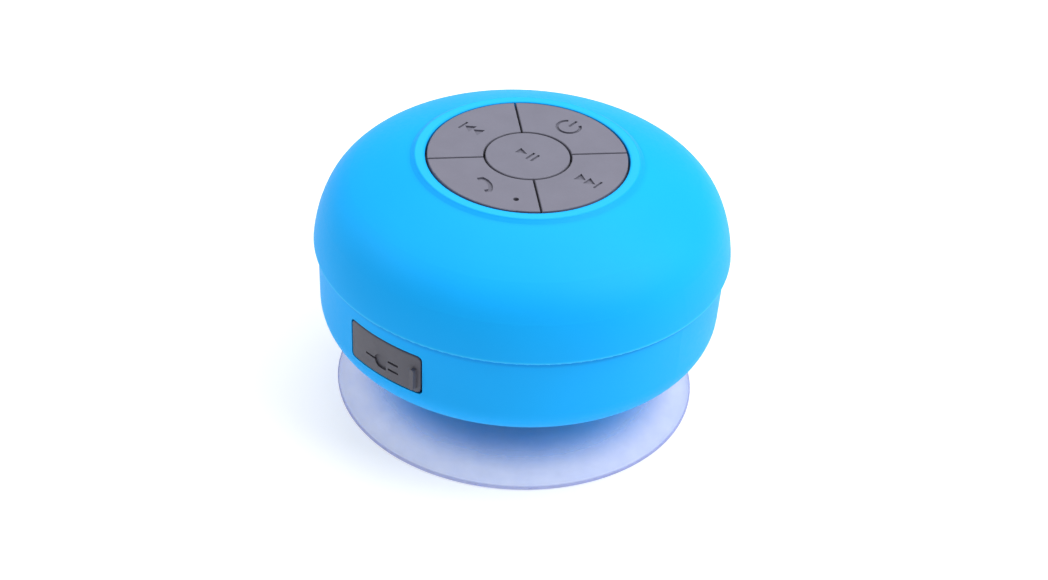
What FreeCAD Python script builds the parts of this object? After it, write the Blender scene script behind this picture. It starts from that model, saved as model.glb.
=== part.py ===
import FreeCAD, Part
import Sketcher
import math
import os

# Waterproof shower speaker: a squat silicone-skinned puck with a soft five-key pad on top,
# a rubber flap over its charging socket, and a clear suction cup under it.
# Millimetres.  +Z is up, the suction cup's sealing rim lies on z = 0, the axis of the
# puck is the Z axis and the charging flap faces -Y.

V = FreeCAD.Vector
doc = FreeCAD.newDocument("ShowerSpeaker")
sheet = doc.addObject("Spreadsheet::Sheet", "Dims")
sheet_rows = {"n": 0}
values = {}


class Dim:
    """A size that knows both its number and its formula on the Dims sheet."""

    def __init__(self, val, txt):
        self.val = float(val)
        self.txt = txt

    def __add__(self, o):
        o = as_dim(o)
        return Dim(self.val + o.val, "(%s + %s)" % (self.txt, o.txt))

    def __radd__(self, o):
        return as_dim(o) + self

    def __sub__(self, o):
        o = as_dim(o)
        return Dim(self.val - o.val, "(%s - %s)" % (self.txt, o.txt))

    def __rsub__(self, o):
        return as_dim(o) - self

    def __mul__(self, o):
        o = as_dim(o)
        return Dim(self.val * o.val, "(%s * %s)" % (self.txt, o.txt))

    def __rmul__(self, o):
        return as_dim(o) * self

    def __truediv__(self, o):
        o = as_dim(o)
        return Dim(self.val / o.val, "(%s / %s)" % (self.txt, o.txt))

    def __neg__(self):
        return Dim(-self.val, "(0 - %s)" % self.txt)


def as_dim(x):
    return x if isinstance(x, Dim) else Dim(x, repr(round(float(x), 6)))


def D(alias, value):
    """Writes one driving dimension in the sheet and returns it."""
    alias = alias + "_"
    if alias in values:
        return values[alias]
    sheet_rows["n"] += 1
    n = sheet_rows["n"]
    sheet.set("A%d" % n, alias)
    sheet.set("B%d" % n, repr(round(float(value), 5)))
    sheet.setAlias("B%d" % n, alias)
    values[alias] = Dim(round(float(value), 5), "Dims." + alias)
    return values[alias]


def cell(label, kind, x):
    """A coordinate of one sub-part: a formula as it is, a plain number through a cell."""
    if isinstance(x, Dim):
        return x
    key = ("%s_%s_%s" % (label, kind, ("%.3f" % x).replace("-", "neg").replace(".", "p")))
    return D(key, x)


parts = []


def keep(obj, label):
    obj.Label = label
    parts.append((label, obj))
    return obj


def plane(body, role):
    for f in body.Origin.OriginFeatures:
        if f.Role == role:
            return f


def new_body(label):
    body = doc.addObject("PartDesign::Body", label + "_body")
    keep(body, label)
    return body


def new_sketch(body, name, role, off=None, turn=None):
    sk = body.newObject("Sketcher::SketchObject", name)
    sk.AttachmentSupport = [(plane(body, role), "")]
    sk.MapMode = "FlatFace"
    if off is not None or turn is not None:
        sk.AttachmentOffset = FreeCAD.Placement(
            V(0, 0, off.val if off is not None else 0),
            FreeCAD.Rotation(V(0, 0, 1), turn.val if turn is not None else 0),
        )
        if off is not None:
            sk.setExpression("AttachmentOffset.Base.z", off.txt)
    return sk


def arc_geo(p0, p1, rad, side):
    mx, my = (p0[0] + p1[0]) / 2, (p0[1] + p1[1]) / 2
    dx, dy = p1[0] - p0[0], p1[1] - p0[1]
    L = math.hypot(dx, dy)
    hh = math.sqrt(max(rad * rad - L * L / 4, 0.0))
    cx, cy = mx - dy / L * hh * side, my + dx / L * hh * side
    a0 = math.atan2(p0[1] - cy, p0[0] - cx)
    a1 = math.atan2(p1[1] - cy, p1[0] - cx)
    circ = Part.Circle(V(cx, cy, 0), V(0, 0, 1), rad)
    if side < 0:
        return Part.ArcOfCircle(circ, a1, a0), True
    return Part.ArcOfCircle(circ, a0, a1), False


def outline(sk, label, pts, arcs=None, kinds=("r", "z")):
    """A closed outline: every corner is held by two constraints bound to the sheet, every arc by its radius.
    arcs: edge index -> (radius, side), side +1 when the centre lies left of the way from corner i to i+1."""
    arcs = arcs or {}
    P = [(cell(label, kinds[0], a), cell(label, kinds[1], b)) for a, b in pts]
    n = len(P)
    g, ends = [], []
    for i in range(n):
        p0 = (P[i][0].val, P[i][1].val)
        p1 = (P[(i + 1) % n][0].val, P[(i + 1) % n][1].val)
        if i in arcs:
            geo, rev = arc_geo(p0, p1, as_dim(arcs[i][0]).val, arcs[i][1])
            g.append(sk.addGeometry(geo, False))
            ends.append((2, 1) if rev else (1, 2))
        else:
            g.append(sk.addGeometry(Part.LineSegment(V(p0[0], p0[1], 0), V(p1[0], p1[1], 0)), False))
            ends.append((1, 2))
    for i in range(n):
        j = (i + 1) % n
        sk.addConstraint(Sketcher.Constraint("Coincident", g[i], ends[i][1], g[j], ends[j][0]))
    for i, (a, b) in enumerate(P):
        for kind, d, nm in (("DistanceX", a, "x"), ("DistanceY", b, "y")):
            c = sk.addConstraint(Sketcher.Constraint(kind, -1, 1, g[i], ends[i][0], d.val))
            sk.renameConstraint(c, "%s%d" % (nm, i))
            sk.setExpression("Constraints.%s%d" % (nm, i), d.txt)
    for i, (rad, side) in arcs.items():
        rad = cell(label, "arc", rad) if not isinstance(rad, Dim) else rad
        c = sk.addConstraint(Sketcher.Constraint("Radius", g[i], rad.val))
        sk.renameConstraint(c, "rad%d" % i)
        sk.setExpression("Constraints.rad%d" % i, rad.txt)
    return sk


def circles(sk, label, items):
    """items: (x, y, radius)"""
    for k, (x, y, r) in enumerate(items):
        x, y, r = cell(label, "x", x), cell(label, "y", y), cell(label, "hole", r)
        c = sk.addGeometry(Part.Circle(V(x.val, y.val, 0), V(0, 0, 1), r.val), False)
        for kind, d, nm, arg in (("DistanceX", x, "cx", 3), ("DistanceY", y, "cy", 3)):
            i = sk.addConstraint(Sketcher.Constraint(kind, -1, 1, c, arg, d.val))
            sk.renameConstraint(i, "%s%d" % (nm, k))
            sk.setExpression("Constraints.%s%d" % (nm, k), d.txt)
        i = sk.addConstraint(Sketcher.Constraint("Radius", c, r.val))
        sk.renameConstraint(i, "cr%d" % k)
        sk.setExpression("Constraints.cr%d" % k, r.txt)
    return sk


def lathe(label, pts, arcs=None, angle=None, role="XZ_Plane", body=None, sym=False):
    body = body or new_body(label)
    sk = new_sketch(body, label + "_profile", role)
    outline(sk, label, pts, arcs)
    f = body.newObject("PartDesign::Revolution", label + "_turn")
    f.Profile = sk
    f.ReferenceAxis = (sk, ["V_Axis"])
    if angle is None:
        f.Angle = 360
    else:
        f.setExpression("Angle", angle.txt)
        f.Angle = angle.val
        f.Midplane = sym
    body.Tip = f
    return body


def pad(body, label, name, z0, z1, pts=None, arcs=None, rounds=None, role="XY_Plane"):
    z0, z1 = cell(label, "z", z0), cell(label, "z", z1)
    sk = new_sketch(body, label + "_" + name, role, off=z0)
    if pts:
        outline(sk, label, pts, arcs, ("x", "y"))
    if rounds:
        circles(sk, label, rounds)
    f = body.newObject("PartDesign::Pad", label + "_" + name + "_pad")
    f.Profile = sk
    f.setExpression("Length", (z1 - z0).txt)
    f.Length = (z1 - z0).val
    body.Tip = f
    return f


def pocket(body, label, name, z0, z1, pts=None, arcs=None, rounds=None, role="XY_Plane"):
    """Cuts from z0 up to z1 along the sketch plane's normal."""
    z0, z1 = cell(label, "z", z0), cell(label, "z", z1)
    sk = new_sketch(body, label + "_" + name, role, off=z0)
    if pts:
        outline(sk, label, pts, arcs, ("x", "y"))
    if rounds:
        circles(sk, label, rounds)
    before = None
    f = body.newObject("PartDesign::Pocket", label + "_" + name + "_cut")
    f.Profile = sk
    f.setExpression("Length", (z1 - z0).txt)
    f.Length = (z1 - z0).val
    f.Reversed = True
    body.Tip = f
    return f


def polar(body, feature, count, angle=360):
    f = body.newObject("PartDesign::PolarPattern", feature.Name + "_ring")
    f.Originals = [feature]
    f.Axis = (plane(body, "Z_Axis"), [""])
    f.Angle = angle
    f.Occurrences = count
    body.Tip = f
    return f


def check_cut(body, what, less=True):
    """The body's volume has to go down (or up) with the newest feature."""
    doc.recompute([body])
    vol = body.Shape.Volume
    old = volumes.get(body.Name)
    if old is not None and ((less and vol >= old - 1e-6) or (not less and vol <= old + 1e-6)):
        raise RuntimeError("%s of %s changed nothing: %.3f -> %.3f" % (what, body.Label, old, vol))
    volumes[body.Name] = vol


volumes = {}


def box(label, name, x0, x1, y0, y1, z0, z1):
    c = [cell(label, k, q) for k, q in zip("xxyyzz", (x0, x1, y0, y1, z0, z1))]
    b = doc.addObject("Part::Box", label + "_" + name)
    b.setExpression("Length", (c[1] - c[0]).txt)
    b.setExpression("Width", (c[3] - c[2]).txt)
    b.setExpression("Height", (c[5] - c[4]).txt)
    b.Placement = FreeCAD.Placement(V(c[0].val, c[2].val, c[4].val), FreeCAD.Rotation())
    b.setExpression(".Placement.Base.x", c[0].txt)
    b.setExpression(".Placement.Base.y", c[2].txt)
    b.setExpression(".Placement.Base.z", c[4].txt)
    return b


def cyl(label, name, x, y, r, z0, z1):
    x, y, r, z0, z1 = cell(label, "x", x), cell(label, "y", y), cell(label, "rad", r), cell(label, "z", z0), cell(label, "z", z1)
    b = doc.addObject("Part::Cylinder", label + "_" + name)
    b.setExpression("Radius", r.txt)
    b.setExpression("Height", (z1 - z0).txt)
    b.Placement = FreeCAD.Placement(V(x.val, y.val, z0.val), FreeCAD.Rotation())
    b.setExpression(".Placement.Base.x", x.txt)
    b.setExpression(".Placement.Base.y", y.txt)
    b.setExpression(".Placement.Base.z", z0.txt)
    return b


def fuse(label, objs):
    f = doc.addObject("Part::MultiFuse", label + "_fuse")
    f.Shapes = objs
    f.Refine = True
    return f


def cut(label, base, tool):
    f = doc.addObject("Part::Cut", label + "_cut")
    f.Base = base
    f.Tool = tool
    return f


def group(label, objs):
    f = doc.addObject("Part::Compound", label + "_group")
    f.Links = objs
    keep(f, label)
    return f


def soften(body, label, name, radius, pick, kind="PartDesign::Fillet"):
    """Rounds the edges that pick(edge) accepts."""
    doc.recompute([body])
    base = body.Tip
    names = ["Edge%d" % (i + 1) for i, e in enumerate(base.Shape.Edges) if pick(e)]
    if not names:
        raise RuntimeError("no edge to round on " + label + " " + name)
    f = body.newObject(kind, label + "_" + name)
    f.Base = (base, names)
    radius = cell(label, "fillet", radius)
    prop = "Radius" if kind.endswith("Fillet") else "Size"
    f.setExpression(prop, radius.txt)
    setattr(f, prop, radius.val)
    body.Tip = f
    doc.recompute([body])
    return f


def at_z(e, z, tol=1e-3):
    bb = e.BoundBox
    return abs(bb.ZMin - z) < tol and abs(bb.ZMax - z) < tol


def slot(x0, x1, w):
    """A slot along X with round ends."""
    p = [(x0, -w), (x1, -w), (x1 + w, 0.0), (x1, w), (x0, w), (x0 - w, 0.0)]
    return p, {1: (w, 1), 2: (w, 1), 4: (w, 1), 5: (w, 1)}


def polar_xy(r, deg):
    return r * math.cos(math.radians(deg)), r * math.sin(math.radians(deg))


# ---------------------------------------------------------------------------------------
# Driving dimensions
# ---------------------------------------------------------------------------------------
top_z = D("key_top_z", 56.3)            # top face of the keys above the sealing rim
seam_z = D("seam_z", 35.75)             # step between the dome and the band
band_top = D("band_top_radius", 42.09)
band_low = D("band_low_radius", 41.55)
band_low_z = D("band_low_z", 22.65)
skin = D("skin_thickness", 1.5)
gap = D("skin_gap", 0.1)
wall = D("housing_wall", 2.0)
base_z = D("base_underside_z", 14.3)
pad_r = D("keypad_radius", 20.3)
ring_r = D("ring_inner_radius", 20.75)
key_turn = D("keypad_turn_deg", 3.3)    # the key pad sits turned by this against the flap
key_travel = D("key_travel", 0.35)
switch_r = D("switch_circle_radius", 14.7)
board_z = D("main_board_z", 47.0)
board_t = D("main_board_thickness", 1.2)
socket_r = D("socket_radius", 6.5)
rim_r = D("cup_rim_radius", 37.7)

# The dome's outer line is a chain of tangent arcs.  Each station is (point, slope below
# level); an offset of the chain gives the skin's inside and the housing's two faces.
dome_start = (23.75, 55.5)
dome_angles = [18.2, 25.54, 32.49, 67.38, 86.78]
dome_lengths = [9.776, 3.456, 8.356]


def dome_chain(off):
    """Corners and radii of the dome's line moved inwards by off."""
    r, z = dome_start
    pts = [(r, z, dome_angles[0])]
    rads = []
    for i in range(4):
        a0, a1 = math.radians(dome_angles[i]), math.radians(dome_angles[i + 1])
        if i < 3:
            rad = dome_lengths[i] / (a1 - a0)
        else:
            rad = (z - seam_z.val) / (math.cos(a0) - math.cos(a1))
        r += rad * (math.sin(a1) - math.sin(a0))
        z -= rad * (math.cos(a0) - math.cos(a1))
        pts.append((r, z, dome_angles[i + 1]))
        rads.append(rad - off)
    out = [(p[0] - off * math.sin(math.radians(p[2])), p[1] - off * math.cos(math.radians(p[2]))) for p in pts]
    return out, rads


def foot_chain(off):
    """The rounding under the band: two arcs from the band's lower end to the base lip."""
    p = [(41.55, 22.65, 87.6), (37.55, 16.5, 26.4), (30.0, 14.1, 8.8)]
    rads = [7.21 - off, 25.9 - off]
    out = [(a - off * math.sin(math.radians(t)), b + off * math.cos(math.radians(t))) for a, b, t in p]
    return out, rads


def named(prefix, pts, rads):
    """Puts a chain in the sheet."""
    P = [(D("%s_radius_%d" % (prefix, i), a), D("%s_level_%d" % (prefix, i), b)) for i, (a, b) in enumerate(pts)]
    Q = [D("%s_arc_%d" % (prefix, i), q) for i, q in enumerate(rads)]
    return P, Q


dome_o, dome_oq = named("dome_outer", *dome_chain(0.0))
dome_i, dome_iq = named("dome_inner", *dome_chain(1.6))
hous_o, hous_oq = named("housing_outer", *dome_chain(1.7))
hous_i, hous_iq = named("housing_inner", *dome_chain(3.7))
foot_o, foot_oq = named("foot_outer", *foot_chain(0.0))
foot_i, foot_iq = named("foot_inner", *foot_chain(1.5))
low_o, low_oq = named("low_outer", *foot_chain(1.6))
low_i, low_iq = named("low_inner", *foot_chain(3.6))

# ---------------------------------------------------------------------------------------
# Silicone skin: ring round the keys, dome, step, band and the lip that turns under the base
# ---------------------------------------------------------------------------------------
pts, arcs = [], {}


def add(p, arc=None):
    if arc is not None:
        arcs[len(pts) - 1] = arc
    pts.append(p)


add((ring_r, 53.95))
add((ring_r, 55.95))
add((ring_r + 0.25, 56.2), (0.25, -1))
add((22.55, 56.2))
add((23.0, 56.0), (0.5, -1))
add(dome_o[0])
for k in range(4):
    if k < 3:
        add(dome_o[k + 1], (dome_oq[k], -1))
# the dome ends in a small rolled edge over the band
edge_r = D("dome_edge_roll", 0.35)
add((dome_o[4][0] - 0.02, dome_o[4][1] + 0.33), (dome_oq[3], -1))
add((dome_o[4][0] - 0.35, dome_o[4][1]), (0.34, -1))
add((band_top, seam_z))
add((band_low, band_low_z))
add(foot_o[1], (foot_oq[0], -1))
add(foot_o[2], (foot_oq[1], -1))
add((29.2, 14.1))
add((29.0, 14.3), (0.2, -1))
add((29.0, foot_i[2][1]))
add(foot_i[2])
add(foot_i[1], (foot_iq[1], 1))
add((band_low - skin, band_low_z), (foot_iq[0], 1))
add((band_top - skin, seam_z - 0.55))
add((dome_i[4][0], dome_i[4][1]))
add(dome_i[3], (dome_iq[3], 1))
add(dome_i[2], (dome_iq[2], 1))
add(dome_i[1], (dome_iq[1], 1))
add(dome_i[0], (dome_iq[0], 1))
skin_body = lathe("silicone_skin", pts, arcs)
check_cut(skin_body, "skin", less=False)

port_z = D("port_centre_z", 27.8)
win_x0, win_x1 = D("window_left_x", -9.45), D("window_right_x", 9.6)
win_z0, win_z1 = D("window_low_z", 22.75), D("window_high_z", 32.25)


def rounded_rect(x0, x1, z0, z1, r, flip=False):
    """Corners and arcs of a rounded rectangle, counter-clockwise."""
    p = [(x0 + r, z0), (x1 - r, z0), (x1, z0 + r), (x1, z1 - r), (x1 - r, z1), (x0 + r, z1), (x0, z1 - r), (x0, z0 + r)]
    return p, {1: (r, 1), 3: (r, 1), 5: (r, 1), 7: (r, 1)}


# window for the flap (cut along -Y; the XZ plane's normal is -Y)
p, a = rounded_rect(win_x0, win_x1, win_z0, win_z1, D("window_corner", 1.1))
pocket(skin_body, "silicone_skin", "window", 36.0, 44.0, p, a, role="XZ_Plane")
check_cut(skin_body, "window")
# shallow pocket on the inside that takes the flap's tether
tp = [polar_xy(39.2, -103.6), polar_xy(41.12, -102.9), polar_xy(41.12, -106.5), polar_xy(41.12, -110.2), polar_xy(39.2, -110.2)]
pocket(skin_body, "silicone_skin", "tether_pocket", 24.7, 30.9, tp)
check_cut(skin_body, "tether pocket")

# ---------------------------------------------------------------------------------------
# Upper housing: dome shell with a drilled top plate under the key pad
# ---------------------------------------------------------------------------------------
plate_hi, plate_lo = D("plate_top_z", 53.2), D("plate_under_z", 51.9)
pts, arcs = [], {}
add((0.0, plate_lo))
add((hous_i[0][0], plate_lo))
add(hous_i[1], (hous_iq[0], -1))
add(hous_i[2], (hous_iq[1], -1))
add(hous_i[3], (hous_iq[2], -1))
add((hous_i[4][0] - 0.0, hous_i[4][1] + 0.75), (hous_iq[3], -1))
add((38.45, 35.75))
add((38.45, 34.55))
add((39.2, 34.55))
add((39.2, 35.5))
add((40.49, 35.5))
add((hous_o[4][0], hous_o[4][1] + 0.12))
add(hous_o[3], (hous_oq[3], 1))
add(hous_o[2], (hous_oq[2], 1))
add(hous_o[1], (hous_oq[1], 1))
add(hous_o[0], (hous_oq[0], 1))
add((22.6, hous_o[0][1]))
add((22.6, plate_hi))
add((0.0, plate_hi))
upper = lathe("upper_housing", pts, arcs)
upper.Placement = FreeCAD.Placement(V(0, 0, 0), FreeCAD.Rotation(V(0, 0, 1), key_turn.val))
check_cut(upper, "upper shell", less=False)
boss_r, boss_c = D("boss_radius", 3.0), D("boss_circle", 33.3)
s45 = math.sin(math.radians(45))
tp = pad(upper, "upper_housing", "screw_boss", 36.2, 43.5, rounds=[(boss_c * round(math.cos(math.radians(41.7)), 6), boss_c * round(math.sin(math.radians(41.7)), 6), boss_r)])
polar(upper, tp, 4)
check_cut(upper, "bosses", less=False)
tp = pocket(upper, "upper_housing", "screw_bore", 36.1, 42.5, rounds=[(boss_c * round(math.cos(math.radians(41.7)), 6), boss_c * round(math.sin(math.radians(41.7)), 6), 1.3)])
polar(upper, tp, 4)
check_cut(upper, "boss bores")
post_c = D("board_post_circle", 24.4)
tp = pad(upper, "upper_housing", "board_post", board_z + board_t + 0.02, 52.0, rounds=[(0.0, post_c, 2.2)])
polar(upper, tp, 3)
check_cut(upper, "posts", less=False)
tp = pocket(upper, "upper_housing", "board_post_bore", board_z + board_t, 51.5, rounds=[(0.0, post_c, 1.02)])
polar(upper, tp, 3)
check_cut(upper, "post bores")
mic_x, mic_y = D("mic_x", 8.03), D("mic_y", -14.3)
sw = [(0.0, 0.0), (switch_r, 0.0), (0.0, switch_r), (-switch_r, 0.0), (0.0, -switch_r)]
pocket(upper, "upper_housing", "plunger_holes", 51.0, 54.0,
       rounds=[(x, y, 2.6) for x, y in sw] + [(mic_x, mic_y, 1.0)])
check_cut(upper, "plunger holes")

# ---------------------------------------------------------------------------------------
# Lower housing: cup-shaped shell with the driver seat, columns and the charging opening
# ---------------------------------------------------------------------------------------
pts, arcs = [], {}
add((39.3, 35.4))
add((band_top - skin - gap, 35.4))
add((band_low - skin - gap, band_low_z))
pts2 = pts
# going down the outside, then back up the inside
add(low_o[1], (low_oq[0], -1))
add(low_o[2], (low_oq[1], -1))
add((28.85, low_o[2][1]))
add((28.85, 14.4))
add((26.25, 14.4))
add((26.25, 16.15))
add((18.4, 16.15))
add((18.4, 21.0))
add((21.2, 21.0))
add((21.2, 18.0))
add((30.5, 18.0))
add(low_i[1], None)
add((band_low - skin - gap - wall, band_low_z + 0.6), None)
add((38.45, 33.6))
add((39.3, 33.6))
lower = lathe("lower_housing", pts, arcs)
check_cut(lower, "lower shell", less=False)
tp = pad(lower, "lower_housing", "screw_column", 17.95, 35.0, rounds=[(boss_c * round(s45, 6), boss_c * round(s45, 6), 3.2)])
polar(lower, tp, 4)
check_cut(lower, "columns", less=False)
tp = pocket(lower, "lower_housing", "screw_clearance", 14.0, 36.0, rounds=[(boss_c * round(s45, 6), boss_c * round(s45, 6), 1.45)])
polar(lower, tp, 4)
tp = pocket(lower, "lower_housing", "screw_head_well", 13.0, 26.0, rounds=[(boss_c * round(s45, 6), boss_c * round(s45, 6), 2.4)])
polar(lower, tp, 4)
check_cut(lower, "column bores")
clamp_c = D("clamp_circle", 24.2)
tp = pad(lower, "lower_housing", "clamp_post", 17.5, 22.3, rounds=[(clamp_c, 0.0, 2.3)])
polar(lower, tp, 3)
check_cut(lower, "clamp posts", less=False)
tp = pocket(lower, "lower_housing", "clamp_bore", 17.0, 22.4, rounds=[(clamp_c, 0.0, 1.02)])
polar(lower, tp, 3)
plate_c = D("base_screw_circle", 23.5)
tp = pad(lower, "lower_housing", "base_boss", 17.5, 21.2, rounds=[(plate_c * round(s45, 6), plate_c * round(s45, 6), 2.3)])
polar(lower, tp, 4)
tp = pocket(lower, "lower_housing", "base_bore", 16.0, 20.6, rounds=[(plate_c * round(s45, 6), plate_c * round(s45, 6), 1.02)])
polar(lower, tp, 4)
check_cut(lower, "base bosses", less=False)
pad(lower, "lower_housing", "socket_posts", 17.5, 25.6, rounds=[(5.0, -29.2, 1.8), (-5.0, -29.2, 1.8)])
check_cut(lower, "socket posts", less=False)
pocket(lower, "lower_housing", "socket_post_bores", 20.0, 25.7, rounds=[(5.0, -29.2, 0.82), (-5.0, -29.2, 0.82)])
check_cut(lower, "socket post bores")
p, a = rounded_rect(D("port_left_x", -5.45), D("port_right_x", 5.75), D("port_low_z", 24.3), D("port_high_z", 31.3), D("port_corner", 0.8))
pocket(lower, "lower_housing", "port", 34.5, 44.0, p, a, role="XZ_Plane")
check_cut(lower, "port")

# ---------------------------------------------------------------------------------------
# Base plate with the sound slots and the socket of the suction cup's stud
# ---------------------------------------------------------------------------------------
base = lathe("base_plate", [
    (socket_r + 0.35, base_z), (25.8, base_z), (26.0, 14.5), (26.0, 16.1), (8.5, 16.1), (8.4, 16.4), (8.4, 24.2), (8.1, 24.5), (0.0, 24.5), (0.0, 23.0), (socket_r, 23.0), (socket_r, base_z + 0.35)])
check_cut(base, "base disc", less=False)
tp = pocket(base, "base_plate", "sound_slot", 14.0, 16.5,
            *slot(10.6, 16.6, 1.0))
polar(base, tp, 12)
check_cut(base, "slots")
tp = pocket(base, "base_plate", "screw_hole", 14.0, 16.5, rounds=[(plate_c * round(s45, 6), plate_c * round(s45, 6), 1.25)])
polar(base, tp, 4)
tp = pocket(base, "base_plate", "screw_well", 14.0, 15.2, rounds=[(plate_c * round(s45, 6), plate_c * round(s45, 6), 2.25)])
polar(base, tp, 4)
check_cut(base, "screw holes")
lathe("splash_mesh", [(8.7, 16.12), (18.2, 16.12), (18.2, 16.32), (8.7, 16.32)])

# ---------------------------------------------------------------------------------------
# Suction cup, its hard stud and the stud's O-ring
# ---------------------------------------------------------------------------------------
lathe("suction_cup", [
    (0.0, 9.0), (8.5, 8.55), (17.5, 6.0), (27.5, 2.75), (34.9, 0.45), (35.5, 0.0), (37.3, 0.0), (rim_r, 0.4), (rim_r, 0.85),
    (37.3, 1.15), (28.0, 4.35), (18.0, 8.35), (12.2, 11.3), (10.4, 12.55), (4.55, 12.6), (4.55, 11.55), (7.05, 11.55), (7.05, 10.25), (0.0, 10.25)],
    {1: (28.0, -1), 10: (80.0, 1), 12: (3.5, 1)})
groove = D("stud_groove_z", 19.0)
lathe("cup_stud", [
    (0.0, 10.3), (7.0, 10.3), (7.0, 11.5), (4.5, 11.5), (4.5, 12.65), (8.3, 12.65), (8.6, 12.95), (8.6, 13.85), (8.3, 14.2), (6.35, 14.2),
    (6.35, groove), (4.8, groove), (4.8, groove + 1.8), (6.35, groove + 1.8), (6.35, 22.0), (5.85, 22.5), (0.0, 22.5)])
ring = doc.addObject("Part::Torus", "stud_o_ring_torus")
ring.Radius1, ring.Radius2 = 5.65, 0.8
ring.setExpression("Radius1", D("o_ring_radius", 5.65).txt)
ring.setExpression("Radius2", D("o_ring_section", 0.8).txt)
ring.setExpression(".Placement.Base.z", (groove + 0.9).txt)
keep(ring, "stud_o_ring")

# ---------------------------------------------------------------------------------------
# Key pad: a thin mat and five separate keys, each over its own switch
# ---------------------------------------------------------------------------------------
turned = []
mat = lathe("keypad_mat", [(0.0, 53.25), (22.3, 53.25), (22.3, 53.85), (0.0, 53.85)])
turned.append(mat)
pocket(mat, "keypad_mat", "plunger_holes", 53.0, 54.0, rounds=[(x, y, 2.3) for x, y in sw] + [(mic_x, mic_y, 0.6)])
check_cut(mat, "mat holes")

key_lo = D("key_under_z", 54.35)
half = D("key_half_gap", 0.2)
in_r = D("key_ring_inner", 9.0)
mark = D("key_mark_depth", 0.4)
tip_z = D("switch_tip_z", 52.5)


def key_ring(label, turn_deg):
    """A quarter of the ring, outline turned so that its middle lies at turn_deg."""
    g, ro, ri = half.val, pad_r.val, in_r.val
    q = [(math.sqrt(ri * ri - g * g), g), (math.sqrt(ro * ro - g * g), g), (g, math.sqrt(ro * ro - g * g)), (g, math.sqrt(ri * ri - g * g))]
    t = math.radians(turn_deg - 45.0)
    q = [(x * math.cos(t) - y * math.sin(t), x * math.sin(t) + y * math.cos(t)) for x, y in q]
    body = new_body(label)
    pad(body, label, "cap", key_lo, top_z, q, {1: (pad_r, 1), 3: (in_r, -1)})
    return body


def finish_key(body, label, x, y, marks):
    check_cut(body, "cap", less=False)
    z = top_z.val
    soften(body, label, "edge", 0.22, lambda e: at_z(e, z))
    pad(body, label, "plunger", tip_z, 54.6, rounds=[(x, y, 1.7)])
    check_cut(body, "plunger", less=False)
    for i, m in enumerate(marks):
        pocket(body, label, "mark%d" % i, top_z - mark, top_z + 1.0, *m)
        check_cut(body, "mark")
    turned.append(body)


def tri(x0, y0, x1, half_h):
    """Triangle with its base at x0 and its tip at x1."""
    p = [(x0, y0 - half_h), (x1, y0), (x0, y0 + half_h)]
    return p if x1 > x0 else [p[0], p[2], p[1]]


def rect(x0, x1, y0, y1):
    return [(x0, y0), (x1, y0), (x1, y1), (x0, y1)]


play = new_body("play_key")
pad(play, "play_key", "cap", key_lo, top_z, rounds=[(0.0, 0.0, D("play_key_radius", 8.55))])
finish_key(play, "play_key", 0.0, 0.0, [
    (tri(-2.7, 0.3, -0.35, 1.05),), (rect(0.25, 0.8, -1.25, 1.55),), (rect(1.45, 2.0, -1.25, 1.55),)])

nxt = key_ring("next_key", 0.0)
finish_key(nxt, "next_key", switch_r, 0.0, [
    (tri(12.15, 0.45, 14.25, 1.35),), (tri(14.4, 0.45, 16.6, 1.3),), (rect(16.8, 17.3, -0.8, 2.0),)])

prev = key_ring("previous_key", 180.0)
finish_key(prev, "previous_key", -switch_r, 0.0, [
    (tri(-12.3, 0.4, -14.25, 1.35),), (tri(-14.45, 0.4, -16.45, 1.35),), (rect(-17.15, -16.65, -1.2, 1.75),)])


def ring_mark(cx, cy, ri, ro, a0, a1):
    """Open ring from angle a0 to a1, counter-clockwise."""
    c = lambda r, a: (cx + r * math.cos(math.radians(a)), cy + r * math.sin(math.radians(a)))
    am = (a0 + a1) / 2
    p = [c(ro, a0), c(ro, am), c(ro, a1), c(ri, a1), c(ri, am), c(ri, a0)]
    return p, {0: (ro, 1), 1: (ro, 1), 3: (ri, -1), 4: (ri, -1)}


power = key_ring("power_key", 90.0)
pc = (-0.35, 14.3)
finish_key(power, "power_key", 0.0, switch_r, [
    ring_mark(pc[0], pc[1], 2.05, 2.72, 128.0, 412.0), (rect(pc[0] - 0.28, pc[0] + 0.28, pc[1] + 0.2, pc[1] + 2.8),)])

phone = key_ring("phone_key", -90.0)


def handset(cx, cy):
    """A telephone handset lying on the slant: a bent grip with a pad at each end."""
    t = math.radians(33.0)
    q = [(-2.7, -0.2), (-2.7, -1.5), (-1.75, -1.5), (-1.75, -0.65), (1.75, -0.65), (1.75, -1.5), (2.7, -1.5), (2.7, -0.2)]
    out = [(cx + x * math.cos(t) + y * math.sin(t), cy - x * math.sin(t) + y * math.cos(t)) for x, y in q]
    return out, {3: (3.63, -1), 7: (4.31, 1)}


hp, ha = handset(0.59, -13.65)
finish_key(phone, "phone_key", 0.0, -switch_r, [(hp, ha)])
pocket(phone, "phone_key", "mic_hole", 54.0, 57.0, rounds=[(mic_x, mic_y, 0.6)])
check_cut(phone, "mic hole")

for nm, x, y in (("play", 0.0, 0.0), ("next", switch_r, 0.0), ("power", 0.0, switch_r), ("previous", -switch_r, 0.0), ("phone", 0.0, -switch_r)):
    b = new_body(nm + "_switch_stem")
    pad(b, nm + "_switch_stem", "stem", 50.75, tip_z, rounds=[(x, y, 1.55)])
    turned.append(b)

# ---------------------------------------------------------------------------------------
# Main board and what is soldered on it
# ---------------------------------------------------------------------------------------
bz0, bz1 = board_z, board_z + board_t
mb = lathe("main_board", [(0.0, bz0), (27.0, bz0), (27.0, bz1), (0.0, bz1)])
turned.append(mb)
tp = pocket(mb, "main_board", "post_hole", 46.0, 49.0, rounds=[(0.0, post_c, 1.15)])
polar(mb, tp, 3)
check_cut(mb, "board holes")

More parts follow.
